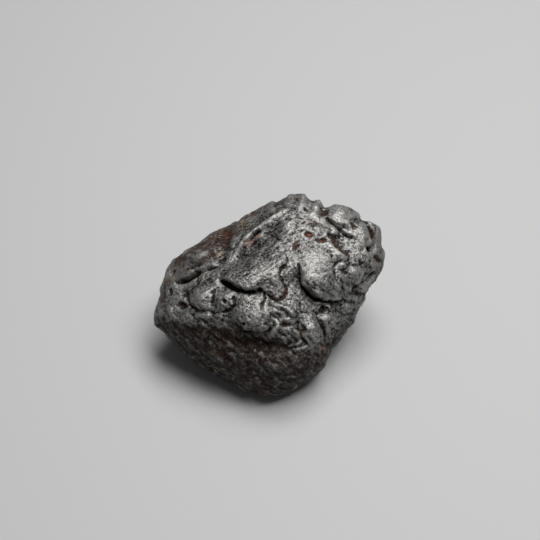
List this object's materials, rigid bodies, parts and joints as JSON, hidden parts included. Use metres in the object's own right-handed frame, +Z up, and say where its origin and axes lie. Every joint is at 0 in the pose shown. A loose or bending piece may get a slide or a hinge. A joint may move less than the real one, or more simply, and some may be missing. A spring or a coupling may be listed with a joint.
{
  "type": "iron meteorite",
  "caption": "Palm-sized iron meteorite: a blunt, lumpy wedge of dark fusion crust with flowed ledges, deep creases, pits and rusty hollows, standing on a small flat spot.",
  "frame": {"origin": "middle of the stone's footprint, on the ground", "axes": "+X to the right along the stone's length, +Y away from the viewer, +Z up"},
  "size_m": [0.0576, 0.0429, 0.0348],
  "materials": {
    "fusion_crust": "dark grey crust with a dull metallic sheen, rusty brown in the hollows"
  },
  "bodies": {
    "root": {"meteorite": "fusion_crust"}
  },
  "joints": []
}
